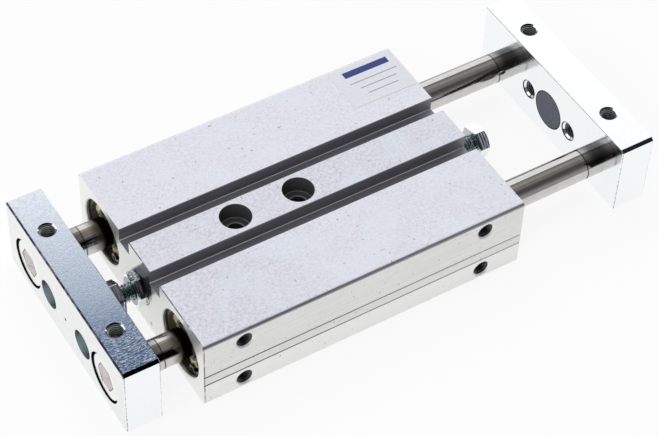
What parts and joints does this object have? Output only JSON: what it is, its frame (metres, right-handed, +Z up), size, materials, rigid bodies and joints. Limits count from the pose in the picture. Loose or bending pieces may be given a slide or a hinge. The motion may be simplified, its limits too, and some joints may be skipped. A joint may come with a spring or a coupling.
{
  "type": "guided pneumatic cylinder",
  "caption": "Flat twin-bore pneumatic cylinder: rods pass through the block and are joined by a yoke plate at each end, with adjustable end stops.",
  "frame": {"origin": "on the block's flat underside, midway between the two fixing holes", "axes": "+X along the rods towards the rear yoke, +Z up from the mounting face, +Y towards the left bore"},
  "size_m": [0.1871, 0.0788, 0.0285],
  "materials": {
    "housing": "clear anodised extrusion, fine matt grain",
    "bearing_brass": "turned brass",
    "bush_bronze": "sintered bronze bush",
    "seal_rubber": "black sealing rubber",
    "cushion_rubber": "black elastomer",
    "bumper_rubber": "dark grey elastomer",
    "spring_steel": "blackened spring steel",
    "zinc_fastener": "blue zinc plated steel",
    "zinc_plate": "bright zinc plated steel plate",
    "rod_screw_steel": "bright steel",
    "chromed_rod": "hard chromed and ground",
    "magnet": "plastic bonded magnet",
    "piston_aluminium": "turned aluminium"
  },
  "bodies": {
    "block": {"housing": "housing", "end_cap_front_left": "bearing_brass", "cap_o_ring_front_left": "seal_rubber", "rod_seal_front_left": "seal_rubber", "guide_bush_front_left": "bush_bronze", "retaining_ring_front_left": "spring_steel", "end_cap_front_right": "bearing_brass", "cap_o_ring_front_right": "seal_rubber", "rod_seal_front_right": "seal_rubber", "guide_bush_front_right": "bush_bronze", "retaining_ring_front_right": "spring_steel", "lock_nut_front": "zinc_fastener", "end_cap_rear_left": "bearing_brass", "cap_o_ring_rear_left": "seal_rubber", "rod_seal_rear_left": "seal_rubber", "guide_bush_rear_left": "bush_bronze", "retaining_ring_rear_left": "spring_steel", "end_cap_rear_right": "bearing_brass", "cap_o_ring_rear_right": "seal_rubber", "rod_seal_rear_right": "seal_rubber", "guide_bush_rear_right": "bush_bronze", "retaining_ring_rear_right": "spring_steel", "lock_nut_rear": "zinc_fastener"},
    "carriage": {"piston_seal_front_left": "seal_rubber", "piston_clip_front_left": "spring_steel", "cushion_ring_front_left": "cushion_rubber", "piston_seal_front_right": "seal_rubber", "piston_clip_front_right": "spring_steel", "cushion_ring_front_right": "cushion_rubber", "yoke_front": "zinc_plate", "yoke_screws_front": "rod_screw_steel", "bumper_front": "bumper_rubber", "piston_seal_rear_left": "seal_rubber", "piston_clip_rear_left": "spring_steel", "cushion_ring_rear_left": "cushion_rubber", "piston_seal_rear_right": "seal_rubber", "piston_clip_rear_right": "spring_steel", "cushion_ring_rear_right": "cushion_rubber", "yoke_rear": "zinc_plate", "yoke_screws_rear": "rod_screw_steel", "bumper_rear": "bumper_rubber", "piston_rod_left": "chromed_rod", "piston_left": "piston_aluminium", "piston_magnet_left": "magnet", "piston_rod_right": "chromed_rod", "piston_right": "piston_aluminium", "piston_magnet_right": "magnet"},
    "front_stop": {"stop_screw_front": "zinc_fastener"},
    "rear_stop": {"stop_screw_rear": "zinc_fastener"}
  },
  "joints": [
    {"name": "carriage_slide", "type": "slide", "parent": "block", "child": "carriage", "axis": [-1, 0, 0], "range_m": [0, 0.025]},
    {"name": "front_stop_adjust", "type": "slide", "parent": "block", "child": "front_stop", "axis": [-1, 0, 0], "range_m": [-0.0025, 0.001]},
    {"name": "rear_stop_adjust", "type": "slide", "parent": "block", "child": "rear_stop", "axis": [1, 0, 0], "range_m": [-0.0025, 0.001]}
  ]
}
